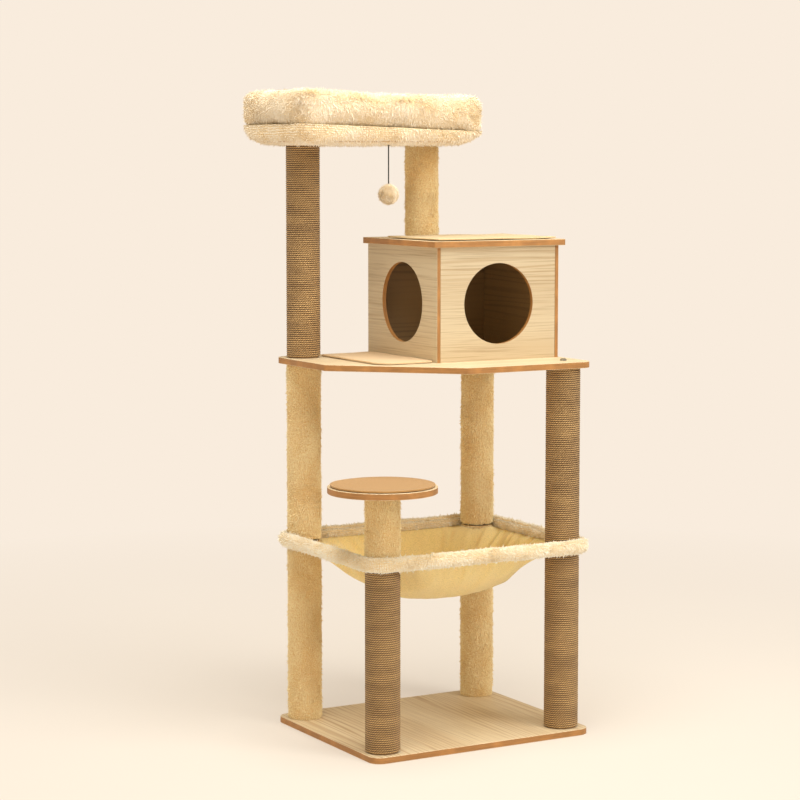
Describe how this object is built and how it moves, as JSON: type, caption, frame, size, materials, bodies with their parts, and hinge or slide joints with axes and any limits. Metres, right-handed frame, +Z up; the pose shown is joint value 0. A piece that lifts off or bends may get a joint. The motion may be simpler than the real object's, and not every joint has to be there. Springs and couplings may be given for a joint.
{
  "type": "cat tree",
  "caption": "Tall free-standing cat tree with sisal and plush posts, a hammock, a round step, a platform with a small house, and a cushioned perch with a hanging ball.",
  "frame": {"origin": "middle of the underside of the base board, on the floor", "axes": "+Z up, X along the base's long side, front of the house towards -Y"},
  "size_m": [0.687, 0.6825, 1.55],
  "materials": {
    "laminate": "ash-pattern laminate on board",
    "plain_wood": "bare wood",
    "sisal": "twisted sisal rope, close wound",
    "plush": "short-pile plush",
    "felt": "matt felt",
    "cardboard": "plain",
    "steel": "zinc plated",
    "elastic": "braided elastic",
    "hook_tape": "hook tape"
  },
  "bodies": {
    "tree": {"back_left_lower_core": "cardboard", "back_left_lower_plugs": "plain_wood", "back_left_lower_plush": "plush", "back_left_top_core": "cardboard", "back_left_top_plugs": "plain_wood", "back_left_top_sisal": "sisal", "back_left_upper_core": "cardboard", "back_left_upper_plugs": "plain_wood", "back_left_upper_plush": "plush", "back_right_lower_core": "cardboard", "back_right_lower_plugs": "plain_wood", "back_right_lower_plush": "plush", "back_right_upper_core": "cardboard", "back_right_upper_plugs": "plain_wood", "back_right_upper_plush": "plush", "base_board": "laminate", "base_bolts": "steel", "front_left_lower_core": "cardboard", "front_left_lower_plugs": "plain_wood", "front_left_lower_sisal": "sisal", "front_left_upper_core": "cardboard", "front_left_upper_plugs": "plain_wood", "front_left_upper_plush": "plush", "front_right_lower_core": "cardboard", "front_right_lower_plugs": "plain_wood", "front_right_lower_sisal": "sisal", "front_right_upper_core": "cardboard", "front_right_upper_plugs": "plain_wood", "front_right_upper_sisal": "sisal", "hammock_frame": "steel", "hammock_rim": "plush", "hammock_sling": "plush", "hook_patches": "hook_tape", "house_back_panel": "laminate", "house_dowels": "plain_wood", "house_front_panel": "laminate", "house_left_panel": "laminate", "house_right_panel": "laminate", "perch_board": "plain_wood", "perch_bolster": "plush", "perch_bolts": "steel", "perch_cover": "plush", "platform_board": "laminate", "platform_bolts": "steel", "post_studs": "steel", "roof_board": "laminate", "roof_bolt": "steel", "roof_post_core": "cardboard", "roof_post_plugs": "plain_wood", "roof_post_plush": "plush", "step_board": "laminate", "step_bolt": "steel"},
    "toy_pivot": {"toy_knot": "elastic"},
    "toy": {"toy_cord": "elastic", "toy_ball": "plush"},
    "perch_pad": {"perch_pad": "plush"},
    "roof_mat": {"roof_mat": "felt"},
    "platform_mat": {"platform_mat": "felt"},
    "step_mat": {"step_mat": "felt"}
  },
  "joints": [
    {"name": "toy_swing_sideways", "type": "hinge", "parent": "tree", "child": "toy_pivot", "pos_m": [-0.09, 0.055, 1.4177], "axis": [0, 1, 0], "range_deg": [-55, 55]},
    {"name": "toy_swing_forwards", "type": "hinge", "parent": "toy_pivot", "child": "toy", "pos_m": [-0.09, 0.055, 1.4177], "axis": [1, 0, 0], "range_deg": [-55, 55]},
    {"name": "perch_pad_lift", "type": "slide", "parent": "tree", "child": "perch_pad", "axis": [0, 0, 1], "range_m": [0, 0.12]},
    {"name": "roof_mat_lift", "type": "slide", "parent": "tree", "child": "roof_mat", "axis": [0, 0, 1], "range_m": [0, 0.06]},
    {"name": "platform_mat_lift", "type": "slide", "parent": "tree", "child": "platform_mat", "axis": [0, 0, 1], "range_m": [0, 0.08]},
    {"name": "step_mat_lift", "type": "slide", "parent": "tree", "child": "step_mat", "axis": [0, 0, 1], "range_m": [0, 0.08]}
  ]
}
